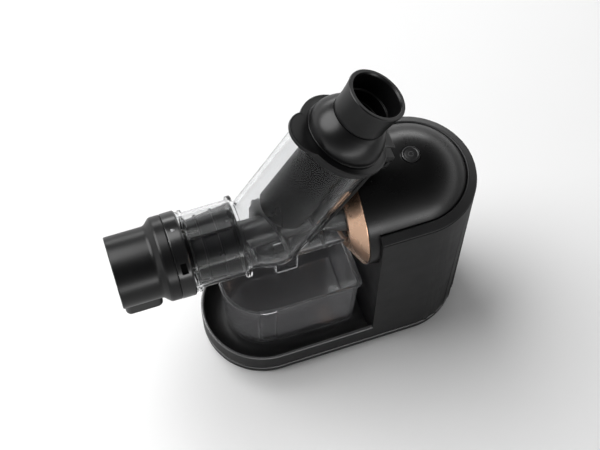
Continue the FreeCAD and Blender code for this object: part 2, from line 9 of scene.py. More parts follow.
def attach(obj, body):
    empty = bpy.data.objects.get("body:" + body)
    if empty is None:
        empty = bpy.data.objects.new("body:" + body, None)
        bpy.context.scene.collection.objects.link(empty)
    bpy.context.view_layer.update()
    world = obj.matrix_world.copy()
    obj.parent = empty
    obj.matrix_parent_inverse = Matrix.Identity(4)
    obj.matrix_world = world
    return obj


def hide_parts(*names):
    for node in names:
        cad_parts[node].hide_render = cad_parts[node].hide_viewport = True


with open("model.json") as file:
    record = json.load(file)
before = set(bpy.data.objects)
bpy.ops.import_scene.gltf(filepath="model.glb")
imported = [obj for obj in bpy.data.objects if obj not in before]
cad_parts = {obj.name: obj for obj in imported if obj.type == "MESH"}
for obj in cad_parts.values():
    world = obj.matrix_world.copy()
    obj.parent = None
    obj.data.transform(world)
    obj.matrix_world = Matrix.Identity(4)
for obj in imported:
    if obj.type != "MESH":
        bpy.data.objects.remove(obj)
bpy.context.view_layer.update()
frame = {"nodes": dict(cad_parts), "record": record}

NODES = frame["nodes"]

# Lengths below are millimetres about the centre of the base, as the part was drawn. The frame's
# origin lies XO further along -X.
XO = 32.9
ZA = 170.7                               # height of the screw axis, along X
HOUSING, UNIT = "housing", "juicing_unit"


def m(x, y, z):
    return Vector(((x + XO) / 1000.0, y / 1000.0, z / 1000.0))


# ---------------------------------------------------------------- materials
class Tree:
    """A material's node tree with short calls."""

    def __init__(self, name):
        self.mat = bpy.data.materials.new(name)
        self.mat.use_nodes = True
        self.t = self.mat.node_tree
        self.t.nodes.clear()
        self.out = self.n("ShaderNodeOutputMaterial")
        self.co = self.n("ShaderNodeTexCoord").outputs["Object"]

    def n(self, kind, **sets):
        node = self.t.nodes.new(kind)
        for k, v in sets.items():
            setattr(node, k, v)
        return node

    def link(self, a, b):
        self.t.links.new(a, b)

    def noise(self, scale, detail=3.0, rough=0.55, stretch=None):
        node = self.n("ShaderNodeTexNoise")
        node.inputs["Scale"].default_value = scale
        node.inputs["Detail"].default_value = detail
        node.inputs["Roughness"].default_value = rough
        src = self.co
        if stretch:
            mp = self.n("ShaderNodeMapping")
            mp.inputs["Scale"].default_value = stretch
            self.link(self.co, mp.inputs["Vector"])
            src = mp.outputs["Vector"]
        self.link(src, node.inputs["Vector"])
        return node.outputs["Fac"]

    def ramp(self, fac, stops):
        node = self.n("ShaderNodeValToRGB")
        el = node.color_ramp.elements
        while len(el) < len(stops):
            el.new(0.5)
        for e, (pos, col) in zip(el, stops):
            e.position = pos
            e.color = (col[0], col[1], col[2], 1.0)
        self.link(fac, node.inputs["Fac"])
        return node.outputs["Color"]

    def span(self, fac, lo, hi, a=0.3, b=0.7):
        node = self.n("ShaderNodeMapRange")
        node.inputs["From Min"].default_value = a
        node.inputs["From Max"].default_value = b
        node.inputs["To Min"].default_value = lo
        node.inputs["To Max"].default_value = hi
        self.link(fac, node.inputs["Value"])
        return node.outputs["Result"]

    def bump(self, height, depth, strength=1.0, after=None):
        node = self.n("ShaderNodeBump")
        node.inputs["Strength"].default_value = strength
        node.inputs["Distance"].default_value = depth
        self.link(height, node.inputs["Height"])
        if after is not None:
            self.link(after, node.inputs["Normal"])
        return node.outputs["Normal"]


def shade(col, k):
    return tuple(min(1.0, c * k) for c in col)


def plastic(name, col, rough, grain=900.0, depth=0.00004, strength=0.25, vary=0.12, spec=0.5,
            metal=0.0, coat=0.0, coat_rough=0.1, sheen=0.0, stretch=None):
    """Moulded plastic, rubber or metal: fine grain, faint clouding of the colour and of the gloss."""
    t = Tree(name)
    b = t.n("ShaderNodeBsdfPrincipled")
    cloud = t.noise(38.0, 4.0)
    fine = t.noise(grain, 2.0, 0.5, stretch)
    b.inputs["Metallic"].default_value = metal
    b.inputs["Specular IOR Level"].default_value = spec
    b.inputs["Coat Weight"].default_value = coat
    b.inputs["Coat Roughness"].default_value = coat_rough
    b.inputs["Sheen Weight"].default_value = sheen
    t.link(t.ramp(cloud, [(0.3, shade(col, 1 - vary)), (0.7, shade(col, 1 + vary))]), b.inputs["Base Color"])
    t.link(t.span(cloud, rough * 0.9, rough * 1.12), b.inputs["Roughness"])
    t.link(t.bump(fine, depth, strength), b.inputs["Normal"])
    t.link(b.outputs["BSDF"], t.out.inputs["Surface"])
    return t.mat


def clear(name, tint, rough=0.02, through=1.0, shadow=(0.8, 0.8, 0.8), ior=1.49, ripple=0.00003, body=(0.1, 0.1, 0.1)):
    """See-through plastic with a trace of moulding ripple. Light that casts shadows passes it tinted."""
    t = Tree(name)
    b = t.n("ShaderNodeBsdfPrincipled")
    b.inputs["IOR"].default_value = ior
    cloud = t.noise(22.0, 3.0)
    fine = t.noise(60.0, 2.0)
    b.inputs["Transmission Weight"].default_value = through
    t.link(t.ramp(cloud, [(0.3, shade(tint, 0.97)), (0.7, shade(tint, 1.03))]), b.inputs["Base Color"])
    t.link(t.span(cloud, rough * 0.8, rough * 1.3), b.inputs["Roughness"])
    t.link(t.bump(fine, ripple, 0.35), b.inputs["Normal"])
    lp = t.n("ShaderNodeLightPath")
    tr = t.n("ShaderNodeBsdfTransparent")
    tr.inputs["Color"].default_value = (shadow[0], shadow[1], shadow[2], 1.0)
    mix = t.n("ShaderNodeMixShader")
    t.link(lp.outputs["Is Shadow Ray"], mix.inputs["Fac"])
    t.link(b.outputs["BSDF"], mix.inputs[1])
    t.link(tr.outputs["BSDF"], mix.inputs[2])
    t.link(mix.outputs["Shader"], t.out.inputs["Surface"])
    return t.mat


MAT = {
    "housing_black": plastic("housing_black", (0.006, 0.006, 0.0062), 0.45, spec=0.32, grain=1500, depth=0.00005, strength=0.3),
    "plate_black": plastic("plate_black", (0.010, 0.010, 0.0104), 0.5, grain=1200, strength=0.3),
    "bezel_black": plastic("bezel_black", (0.012, 0.012, 0.0124), 0.42, spec=0.4, grain=1400, strength=0.25),
    "head_black": plastic("head_black", (0.002, 0.002, 0.0021), 0.28, spec=0.4, grain=1800, depth=0.00002, strength=0.15),
    "satin_black": plastic("satin_black", (0.0022, 0.0022, 0.0024), 0.3, spec=0.36, grain=1600, depth=0.000006, strength=0.12),
    "shaft_black": plastic("shaft_black", (0.0016, 0.0016, 0.0017), 0.26, spec=0.14, grain=260, depth=0.000004, strength=0.05),
    # near-black and almost without gloss: painted shade for the lock ring's window recesses
    "painted_shade_black": plastic("painted_shade_black", (0.001, 0.001, 0.001), 0.8, spec=0.05, grain=900, strength=0.1),
    "copper": plastic("copper", (0.96, 0.62, 0.43), 0.27, grain=420, depth=0.00003, strength=0.2, vary=0.04,
                      metal=1.0, stretch=(0.15, 1.0, 1.0)),
    "clear": clear("clear", (0.87, 0.875, 0.88), 0.012, ior=1.16, ripple=0.00001),
    "smoky": clear("smoky", (0.40, 0.40, 0.41), 0.08, through=0.86, shadow=(0.35, 0.35, 0.35), ior=1.42, ripple=0.00001),
    "smoky_dark": plastic("smoky_dark", (0.004, 0.004, 0.0043), 0.22, grain=900, depth=0.00001, strength=0.1, spec=0.4,
                          coat=0.25, coat_rough=0.12),
    # edge material: glossier than housing_black, with its base colour painted far lighter, a painted highlight on the
    # softened lips
    "edge_gloss_painted_highlight": plastic("edge_gloss_painted_highlight", (0.075, 0.075, 0.077), 0.3, spec=0.9, grain=1500, depth=0.00001, strength=0.1,
                          coat=0.5, coat_rough=0.2),
    "rubber_black": plastic("rubber_black", (0.012, 0.012, 0.012), 0.75, grain=1300, strength=0.5, spec=0.3, sheen=0.15),
    "seal_grey": plastic("seal_grey", (0.16, 0.16, 0.165), 0.6, grain=1000, strength=0.3, spec=0.35),
    "button_black": plastic("button_black", (0.008, 0.008, 0.0085), 0.3, grain=1800, depth=0.00002, strength=0.2),
    "screw_black": plastic("screw_black", (0.012, 0.012, 0.0125), 0.35, grain=900, strength=0.3),
    "strainer_dark": plastic("strainer_dark", (0.005, 0.005, 0.0053), 0.3, spec=0.25, grain=900, strength=0.3),
    "steel": plastic("steel", (0.56, 0.57, 0.58), 0.28, grain=700, depth=0.00002, strength=0.3, vary=0.06, metal=1.0,
                     stretch=(0.05, 1, 1)),
    "steel_dark": plastic("steel_dark", (0.16, 0.165, 0.175), 0.4, grain=800, strength=0.3, vary=0.08, metal=1.0),
    "gear_nylon": plastic("gear_nylon", (0.72, 0.70, 0.63), 0.5, grain=700, strength=0.25, vary=0.05),
    "case_grey": plastic("case_grey", (0.07, 0.07, 0.074), 0.5, grain=800, strength=0.4),
    "magnet": plastic("magnet", (0.05, 0.05, 0.053), 0.55, grain=1000, strength=0.5, metal=0.6),
    "bronze": plastic("bronze", (0.50, 0.32, 0.16), 0.38, grain=900, strength=0.5, vary=0.1, metal=1.0),
    "board_green": plastic("board_green", (0.012, 0.10, 0.035), 0.35, grain=300, strength=0.3, vary=0.25, coat=0.3),
    "component_black": plastic("component_black", (0.015, 0.015, 0.016), 0.45, grain=900, strength=0.3),
}
slot_of = {s["node"]: s["material_slot"] for s in frame["record"]["subparts"]}
for node, ob in NODES.items():
    mat = MAT[slot_of[node]]
    if not ob.material_slots:
        ob.data.materials.append(mat)
    for ms in ob.material_slots:
        ms.material = mat

# ---------------------------------------------------------------- mesh helpers
def build(name, verts, faces, mat, body, *stands_for, sharp=32.0, slot=None, cutters=(), bevel=0.0, weighted=True,
          pick=None, pick_mat=None):
    """One piece from points and faces, with its cutters taken away, its edges softened and its normals set."""
    me = bpy.data.meshes.new(name)
    me.from_pydata([tuple(v) for v in verts], [], faces)
    me.validate()
    tidy(me)
    ob = bpy.data.objects.new(name, me)
    bpy.context.scene.collection.objects.link(ob)
    for c in cutters:
        md = ob.modifiers.new("cut", "BOOLEAN")
        md.operation = c[1]
        md.solver = "EXACT"
        md.object = c[0]
        ob = bake(ob)
        bpy.data.objects.remove(c[0])
    if bevel:
        md = ob.modifiers.new("soft", "BEVEL")
        md.width = bevel
        md.segments = 3
        md.limit_method = "ANGLE"
        md.angle_limit = math.radians(40)
        md.use_clamp_overlap = True
        ob = bake(ob)
    ob.data.materials.clear()
    ob.data.materials.append(MAT[mat])
    for face in ob.data.polygons:
        face.material_index = 0
    if pick:
        # edges that pick() names get a wider rounding and a second material, glossier than the part and painted
        # lighter: a painted highlight along the moulding's lip
        ob.data.materials.append(MAT[pick_mat])
        b = bmesh.new()
        b.from_mesh(ob.data)
        bmesh.ops.dissolve_limit(b, angle_limit=math.radians(0.4), verts=b.verts, edges=b.edges)
        for width, test in pick:
            chosen = [e for e in b.edges if len(e.link_faces) == 2 and e.calc_face_angle(0.0) > math.radians(40)
                      and test(*[(v.co.x * 1000 - XO, v.co.y * 1000, v.co.z * 1000) for v in e.verts])]
            bmesh.ops.bevel(b, geom=chosen, offset=width / 1000, segments=4, profile=0.5, affect="EDGES",
                            clamp_overlap=False, material=1)
        b.to_mesh(ob.data)
        b.free()
    finish_mesh(ob.data, sharp)
    if weighted:
        md = ob.modifiers.new("normals", "WEIGHTED_NORMAL")
        md.keep_sharp = True
        md.weight = 100
    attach(ob, body)
    if stands_for:
        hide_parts(*stands_for)
    return ob


def bake(ob):
    dg = bpy.context.evaluated_depsgraph_get()
    me = bpy.data.meshes.new_from_object(ob.evaluated_get(dg))
    ob.modifiers.clear()
    ob.data = me
    return ob


def tidy(me):
    b = bmesh.new()
    b.from_mesh(me)
    bmesh.ops.remove_doubles(b, verts=b.verts, dist=2e-6)
    bmesh.ops.recalc_face_normals(b, faces=b.faces)
    b.to_mesh(me)
    b.free()


def finish_mesh(me, sharp):
    b = bmesh.new()
    b.from_mesh(me)
    bmesh.ops.remove_doubles(b, verts=b.verts, dist=2e-6)
    bmesh.ops.dissolve_degenerate(b, edges=b.edges, dist=2e-6)
    b.to_mesh(me)
    b.free()
    for f in me.polygons:
        f.use_smooth = True
    me.set_sharp_from_angle(angle=math.radians(sharp))


def rounded(pts, n=5, closed=True):
    """A 2-D outline from points (a, b) or (a, b, r): a corner with r gets an arc of that radius."""
    out = []
    count = len(pts)
    for i, p in enumerate(pts):
        r = p[2] if len(p) > 2 else 0.0
        b = Vector(p[:2])
        if r <= 0 or (not closed and i in (0, count - 1)):
            out.append((b.x, b.y))
            continue
        u = Vector(pts[i - 1][:2]) - b
        v = Vector(pts[(i + 1) % count][:2]) - b
        lu, lv = u.length, v.length
        u.normalize()
        v.normalize()
        ang = math.acos(max(-1.0, min(1.0, u.dot(v))))
        if ang > math.pi - 0.03:
            out.append((b.x, b.y))
            continue
        d = min(r / math.tan(ang / 2), 0.48 * lu, 0.48 * lv)
        rr = d * math.tan(ang / 2)
        c = b + (u + v).normalized() * (rr / math.sin(ang / 2))
        p0, p1 = b + u * d - c, b + v * d - c
        a0 = math.atan2(p0.y, p0.x)
        da = math.atan2(p1.y, p1.x) - a0
        da = (da + math.pi) % (2 * math.pi) - math.pi
        for k in range(n + 1):
            a = a0 + da * k / n
            out.append((c.x + rr * math.cos(a), c.y + rr * math.sin(a)))
    return out


def bow(a, b, rise, n=10):
    """Points of a shallow arc from a to b, its middle raised by rise to the second coordinate's side."""
    pts = []
    for k in range(1, n):
        q = k / n
        pts.append((a[0] + (b[0] - a[0]) * q, a[1] + (b[1] - a[1]) * q + rise * 4 * q * (1 - q)))
    return pts


def lathe(prof, origin, axis, ref, seg=144, closed=True, squash=None):
    """Turns an outline of (along, radius) about an axis. A radius may be a function of the angle."""
    axis = Vector(axis).normalized()
    ref = Vector(ref).normalized()
    side = axis.cross(ref)
    verts, faces, rings = [], [], []
    for t, r in prof:
        if not callable(r) and r < 1e-4:
            verts.append(origin + axis * (t / 1000))
            rings.append([len(verts) - 1])
            continue
        ring = []
        for k in range(seg):
            a = 2 * math.pi * k / seg
            rr = r(a) if callable(r) else r
            verts.append(origin + axis * (t / 1000) + (ref * math.cos(a) + side * math.sin(a)) * (rr / 1000))
            ring.append(len(verts) - 1)
        rings.append(ring)
    count = len(rings)
    for i in range(count if closed else count - 1):
        a, b = rings[i], rings[(i + 1) % count]
        if len(a) == 1 and len(b) == 1:
            continue
        for k in range(seg):
            k2 = (k + 1) % seg
            if len(a) == 1:
                faces.append((a[0], b[k], b[k2]))
            elif len(b) == 1:
                faces.append((a[k], b[0], a[k2]))
            else:
                faces.append((a[k], b[k], b[k2], a[k2]))
    return verts, faces


def stack(loops, cap_first=False, cap_last=False, around=True):
    """Skins closed loops of equal length, one after the other."""
    verts, faces = [], []
    n = len(loops[0])
    for lp in loops:
        verts.extend(lp)
    for i in range(len(loops) - 1 if not around else len(loops)):
        a, b = i * n, ((i + 1) % len(loops)) * n
        for k in range(n):
            k2 = (k + 1) % n
            faces.append((a + k, b + k, b + k2, a + k2))
    if cap_first:
        faces.append(tuple(range(n)))
    if cap_last:
        a = (len(loops) - 1) * n
        faces.append(tuple(range(a, a + n)))
    return verts, faces


def blank(name, verts, faces):
    """A mesh object that only serves as a cutter."""
    me = bpy.data.meshes.new(name)
    me.from_pydata([tuple(v) for v in verts], [], faces)
    me.validate()
    tidy(me)
    ob = bpy.data.objects.new(name, me)
    bpy.context.scene.collection.objects.link(ob)
    return ob


def block(name, x0, x1, y0, y1, z0, z1, turn=None, at=None):
    """Box cutter, turned about the screw axis by an angle in degrees if turn is given."""
    pts = [(x, y, z) for x in (x0, x1) for y in (y0, y1) for z in (z0, z1)]
    if turn is not None:
        a = math.radians(turn)
        pts = [(x, y * math.cos(a) - z * math.sin(a), ZA + y * math.sin(a) + z * math.cos(a)) for x, y, z in pts]
    vs = [m(*p) for p in pts]
    fs = [(0, 1, 3, 2), (4, 6, 7, 5), (0, 4, 5, 1), (2, 3, 7, 6), (0, 2, 6, 4), (1, 5, 7, 3)]
    return blank(name, vs, fs)


AX, AY, AZ = Vector((1, 0, 0)), Vector((0, 1, 0)), Vector((0, 0, 1))
ON_AXIS = m(0, 0, ZA)
FEED_O = m(-58.8, 0, ZA)
FEED_A = Vector((0.5, 0, math.sqrt(0.75)))
FEED_U = Vector((math.sqrt(0.75), 0, -0.5))


def on_feed(t, u, v):
    return FEED_O + FEED_A * (t / 1000) + FEED_U * (u / 1000) + AY * (v / 1000)


# ---------------------------------------------------------------- base and tower shell, edges softened
def shell_copy(node, name, mat, soft, cutters=()):
    """The node's own mesh with flat faces joined, grooves cut and edges softened."""
    b = bmesh.new()
    b.from_mesh(NODES[node].data)
    bmesh.ops.remove_doubles(b, verts=b.verts, dist=2e-6)
    bmesh.ops.dissolve_limit(b, angle_limit=math.radians(0.4), verts=b.verts, edges=b.edges)
    vs = [v.co.copy() for v in b.verts]
    b.verts.index_update()
    fs = [tuple(v.index for v in f.verts) for f in b.faces]
    b.free()
    return build(name, vs, fs, mat, HOUSING, node, cutters=cutters, sharp=34, pick=soft, pick_mat="edge_gloss_painted_highlight")


def stadium_loop(r, z, n=64):
    pts = [(64 + r * math.cos(a), r * math.sin(a)) for a in [(-0.5 + k / n) * math.pi for k in range(n + 1)]]
    pts += [(-64 + r * math.cos(a), r * math.sin(a)) for a in [(0.5 + k / n) * math.pi for k in range(n + 1)]]
    return [m(x, y, z) for x, y in pts]


groove = blank("groove", *stack([stadium_loop(54.3, 8.8), stadium_loop(58.0, 8.8), stadium_loop(58.0, 11.2), stadium_loop(54.3, 11.2)]))


def near_stadium(p, r, lo=-64.0, hi=64.0):
    x, y = p[0], p[1]
    if x < lo:
        return abs(math.hypot(x - lo, y) - r) < 0.12
    if x > hi:
        return abs(math.hypot(x - hi, y) - r) < 0.12
    return abs(abs(y) - r) < 0.12


def rim_edge(p, q):
    """Both lips of the tray's wall."""
    return all(abs(c[2] - 31.0) < 0.02 and c[0] < 22.1 and (near_stadium(c, 56.0) or near_stadium(c, 53.5)) for c in (p, q))


def foot_edge(p, q):
    """The plinth's upper and lower lips beside the shadow gap."""
    return all((abs(c[2] - 8.8) < 0.02 or abs(c[2] - 11.2) < 0.02) and near_stadium(c, 56.0) for c in (p, q))


# the rim's and plinth's lips take the edge material, painted lighter as a painted highlight
shell_copy("main_housing", "shell", "housing_black", ((1.1, rim_edge), (0.9, foot_edge)), cutters=((groove, "DIFFERENCE"),))

# ---------------------------------------------------------------- tower bezel
prof = rounded([(54.4, 190.05), (54.4, 190.7), (55.97, 190.7, 0.5), (55.5, 191.6, 0.9), (48.7, 195.2, 1.3), (47.4, 194.0, 0.5),
                (48.3, 192.0), (49.4, 190.0), (50.6, 187.2), (53.0, 187.2), (53.0, 190.05)], 4)
path = [(22.0 + 42.0 * k / 6, -1.0, 0.0) for k in range(7)]
turns = 72
path += [(64.0, -math.cos(math.pi * k / turns), math.sin(math.pi * k / turns)) for k in range(1, turns)]
path += [(64.0 - 42.0 * k / 6, 1.0, 0.0) for k in range(7)]
loops = []
for x, cy, cx in path:
    loops.append([m(x + cx * r, cy * r, z) for r, z in prof])
v, f = stack(loops, True, True, around=False)
build("bezel", v, f, "bezel_black", HOUSING, "top_bezel")

# ---------------------------------------------------------------- head, a smooth capsule with the button's opening
BX = 63.5
q90 = [math.pi / 2 * k / 44 for k in range(45)]
prof = rounded([(13.3, 50.1), (13.3, 52.58, 0.5), (20.0, 52.58)], 4, closed=False)
prof += [(30.0, 52.58), (42.0, 52.58), (53.0, 52.58)] + [(64.0 + 52.58 * math.sin(a), max(52.58 * math.cos(a), 0.00001)) for a in q90]
prof += [(64.0 + 50.1 * math.sin(a), max(50.1 * math.cos(a), 0.00001)) for a in reversed(q90)] + [(42.0, 50.1), (26.0, 50.1)]
v, f = lathe(prof, ON_AXIS, AX, AZ, 180)
low = block("low", 26.0, 130.0, -60.0, 60.0, 60.0, 184.0)
hole = blank("hole", *lathe([(-40, 0), (-40, 8.0), (40, 8.0), (40, 0)], m(BX, 0, 230.0), AZ, AX, 96))
line = blank("line", *lathe([(0.35 * math.cos(math.pi * k / 6), 8.75 + 0.35 * math.sin(math.pi * k / 6)) for k in range(12)],
                            m(BX, 0, 223.45), AZ, AX, 96))
tube = blank("tube", *lathe([(212.5, 8.0), (212.5, 9.6), (221.3, 9.6), (221.3, 8.0)], m(BX, 0, 0), AZ, AX, 96))
build("head_shell", v, f, "head_black", HOUSING, "head_cover", sharp=38,
      cutters=((low, "DIFFERENCE"), (hole, "DIFFERENCE"), (line, "DIFFERENCE"), (tube, "UNION")))

# ---------------------------------------------------------------- copper cone ring
prof = rounded([(13.15, 52.3, 0.5), (2.5, 33.8, 0.5), (2.4, 29.25, 0.3), (5.0, 29.25), (5.0, 34.4), (13.15, 48.9)], 4)
v, f = lathe(prof, ON_AXIS, AX, AZ, 180)
build("cone", v, f, "copper", HOUSING, "cone_ring")

# ---------------------------------------------------------------- front cap and spout
prof = rounded([(-185.8, 0.0001), (-185.8, 28.9, 0.7), (-185.1, 29.7, 0.6), (-152.6, 29.7, 5.0), (-147.6, 34.4, 2.2),
                (-146.0, 35.0, 0.8), (-138.4, 35.0, 0.5), (-138.3, 32.0), (-146.4, 32.0), (-146.4, 29.4), (-150.5, 28.6),
                (-152.5, 27.5), (-183.4, 27.5, 1.5), (-183.4, 0.0001)], 5)
v, f = lathe(prof, ON_AXIS, AX, AZ, 180)


def duct(grow, z0, z1):
    """Rounded rectangle of the spout's outline, pulled from z0 up to z1."""
    x0, x1, y = -184.2 + grow, -152.2 - grow, 12.6 - grow
    ol = rounded([(x0, -y, 5.0 - grow), (x1, -y, 5.0 - grow), (x1, y, 5.0 - grow), (x0, y, 5.0 - grow)], 6)
    return [m(a, b, z0) for a, b in ol], [m(a, b, z1) for a, b in ol]


lo, hi = duct(0.0, 113.9, ZA - 12)
add = blank("duct", *stack([lo, hi], True, True, around=False))
room = blank("room", *lathe([(-183.4, 0), (-183.4, 27.5), (-150, 27.5), (-150, 0)], ON_AXIS, AX, AZ, 180))
lo, hi = duct(2.0, 100, ZA - 14)
bore = blank("bore", *stack([lo, hi], True, True, around=False))
build("cap", v, f, "satin_black", "front_cap", "front_cap", cutters=((add, "UNION"), (room, "DIFFERENCE"), (bore, "DIFFERENCE")),
      sharp=38)

# ---------------------------------------------------------------- lock ring with its windows
prof = rounded([(-137.95, 31.6), (-137.95, 35.25, 0.35), (-136.9, 35.3), (-136.9, 34.9), (-136.5, 34.9), (-136.5, 35.3),
                (-127.4, 35.3, 0.8), (-126.0, 34.0, 0.4), (-126.0, 31.6)], 4)
v, f = lathe(prof, ON_AXIS, AX, AZ, 180)
cuts = [(block("w%d" % a, -134.8, -129.6, 33.7, 40, -4.6, 4.6, turn=a), "DIFFERENCE") for a in (138, -42)]
build("bayonet_ring", v, f, "smoky_dark", UNIT, "lock_ring", cutters=cuts, sharp=38)

# near-black matt sheets on the floors seen through the windows: painted shade in the recesses
for i, a0 in enumerate((138.0, -42.0)):
    pts = []
    for s_, x in rounded([(-4.4, -134.6, 0.4), (4.4, -134.6, 0.4), (4.4, -129.8, 0.4), (-4.4, -129.8, 0.4)], 3):
        pts.append((s_, x))
    vs = []
    for r in (34.0, 33.6):
        for s_, x in pts:
            a = math.radians(a0) + s_ / r
            vs.append(m(x, r * math.cos(a), ZA + r * math.sin(a)))
    n = len(pts)
    fs = [tuple(range(n)), tuple(range(2 * n - 1, n - 1, -1))] + [(k, (k + 1) % n, n + (k + 1) % n, n + k) for k in range(n)]
    build("window_%d" % i, vs, fs, "painted_shade_black", UNIT, slot="smoky_dark", weighted=False)

# padlock mark on the ring: body, shackle
def on_ring(s, x, r=35.36):
    """A point on the ring's outside, s millimetres round from the mark's centre and x along the axis."""
    a = math.radians(84.0) + s / r
    return m(x, r * math.cos(a), ZA + r * math.sin(a))


MAT["mark_dim"] = plastic("mark_dim", (0.07, 0.07, 0.072), 0.5, grain=900, strength=0.2, vary=0.05)
MAT["mark_grey"] = plastic("mark_grey", (0.26, 0.26, 0.27), 0.5, grain=900, strength=0.2, vary=0.05)
lock = rounded([(-1.25, -133.9, 0.3), (1.25, -133.9, 0.3), (1.25, -132.0, 0.3), (-1.25, -132.0, 0.3)], 3)
def flat_piece(name, pts, top, low, body, slot, mat="mark_grey"):
    vs = [top(a, b) for a, b in pts] + [low(a, b) for a, b in pts]
    n = len(pts)
    fs = [tuple(range(n)), tuple(range(2 * n - 1, n - 1, -1))] + [(k, (k + 1) % n, n + (k + 1) % n, n + k) for k in range(n)]
    return build(name, vs, fs, mat, body, slot=slot, weighted=False)


def up_ring(a, b):
    return on_ring(a, b)


def low_ring(a, b):
    return on_ring(a, b, 35.2)


flat_piece("padlock_body", lock, up_ring, low_ring, UNIT, "smoky_dark")
arc = [(0.85 * math.cos(math.pi * k / 12), -131.7 + 0.95 * math.sin(math.pi * k / 12)) for k in range(13)]
arc_in = [(0.5 * math.cos(math.pi * k / 12), -131.7 + 0.6 * math.sin(math.pi * k / 12)) for k in range(12, -1, -1)]
shackle = [(0.85, -132.0)] + arc + [(-0.85, -132.0), (-0.5, -132.0)] + arc_in + [(0.5, -132.0)]
flat_piece("padlock_shackle", shackle, up_ring, low_ring, UNIT, "smoky_dark")

# ---------------------------------------------------------------- strainer in the drum
prof = rounded([(-82.2, 26.8), (-82.2, 29.1), (-84.0, 29.1, 0.3), (-84.2, 28.4), (-97.2, 27.3), (-97.2, 28.4, 0.3), (-99.0, 28.2, 0.3),
                (-99.0, 27.1), (-110.6, 26.0), (-110.6, 27.2, 0.3), (-112.4, 27.0, 0.3), (-112.4, 25.8), (-120.4, 25.0), (-120.4, 26.9),
                (-121.4, 26.9), (-121.4, 19.0), (-129.0, 17.0), (-129.0, 7.0), (-124.0, 7.0), (-124.0, 15.6), (-120.0, 17.6),
                (-115.0, 22.6), (-84.0, 26.4)], 3)
v, f = lathe(prof, ON_AXIS, AX, AZ, 144)
build("strainer_basket", v, f, "strainer_dark", UNIT, "strainer")

# ---------------------------------------------------------------- feed tray
def reach(a, shift=0.0):
    """Distance from the tube's axis to the tray's outline: round plate, front lobe, rear tab."""
    c, s_ = math.cos(a), math.sin(a)
    best = 37.3 - shift
    lu, lr = -28.0, 19.6 - shift
    disc = (lu * c) ** 2 - (lu * lu - lr * lr)
    if disc > 0:
        best = max(best, lu * c + math.sqrt(disc))
    # rear tab, v from -11 to 9, out to u = 44
    if c > 0:
        k = (44.0 - shift) / c
        vv = k * s_
        if vv < -11.0 + shift:
            k = (-11.0 + shift) / s_
        elif vv > 9.0 - shift:
            k = (9.0 - shift) / s_
        best = max(best, k)
    return best


def rim(shift):
    return lambda a: reach(a, shift)


prof = [(125.1, 30.2), (125.1, 33.9), (120.6, 33.9), (120.6, 34.9), (125.3, 35.1), (125.4, rim(0.5)), (125.55, rim(0.12)), (125.9, rim(0.0)),
        (128.1, rim(0.0)), (128.5, rim(0.12)), (128.65, rim(0.45)), (128.65, rim(0.9)), (128.35, rim(1.25)), (128.3, 33.4), (128.6, 32.6),
        (128.6, 30.2)]
v, f = lathe(prof, FEED_O, FEED_A, FEED_U, 720)
build("tray", v, f, "satin_black", UNIT, "feed_tray", sharp=40)


def bar(name, t0, t1, u0, u1, v0, v1, mat, soft=0.0008):
    vs = [on_feed(t, u, w) for t in (t0, t1) for u in (u0, u1) for w in (v0, v1)]
    fs = [(0, 1, 3, 2), (4, 6, 7, 5), (0, 4, 5, 1), (2, 3, 7, 6), (0, 2, 6, 4), (1, 5, 7, 3)]
    return build(name, vs, fs, mat, UNIT, bevel=soft)


# moulded rails along the tube's rear side; the wide first strip is no rail but a near-black panel, painted shade
# standing in for the dark band the tube shows by refraction, which also hides the copper behind it
def rail_and_shade_strip(name, deg, half, r0, r1, t0, t1, mat, slot):
    loops = []
    a0 = math.radians(deg)
    steps = max(1, int(half / 1.5))
    row = [-half + 2.0 * half * i / steps for i in range(steps + 1)]
    ol = [(r0, w) for w in row] + rounded([(r0, half), (r1, half, 0.45), (r1, half - 0.6)], 4, closed=False)[1:]
    ol += [(r1, w) for w in reversed(row[1:-1])] + rounded([(r1, 0.6 - half), (r1, -half, 0.45), (r0, -half)], 4, closed=False)[:-1]
    for t, k in ((t0, 0.0), (t0 + 0.8, 0.75), (t0 + 2.2, 1.0), (t1 - 2.2, 1.0), (t1 - 0.8, 0.75), (t1, 0.0)):
        lp = []
        for r, w in ol:
            rr = r0 + (r - r0) * k
            a = a0 + w / rr
            lp.append(on_feed(t, rr * math.cos(a), rr * math.sin(a)))
        loops.append(lp)
    v, f = stack(loops, True, True, around=False)
    return build(name, v, f, mat, UNIT, slot=slot)


# near-black panel of painted shade, standing in for the tube's dark refraction band
rail_and_shade_strip("shade_band_panel", -26.0, 15.4, 33.75, 34.4, 50.0, 120.0, "shaft_black", "satin_black")
rail_and_shade_strip("rail_b", -57.0, 0.7, 33.7, 35.3, 24.0, 120.0, "satin_black", "satin_black")
rail_and_shade_strip("rail_c", -37.0, 0.8, 34.2, 35.2, 48.0, 120.0, "satin_black", "satin_black")
bar("tray_hook", 115.0, 125.6, 36.0, 39.6, -20.5, -9.5, "satin_black")
bar("tray_hook_toe", 114.2, 117.4, 34.0, 39.6, -20.5, -9.5, "satin_black")
bar("tray_hook_arm", 122.6, 128.4, 30.5, 39.6, -20.5, -9.5, "satin_black")

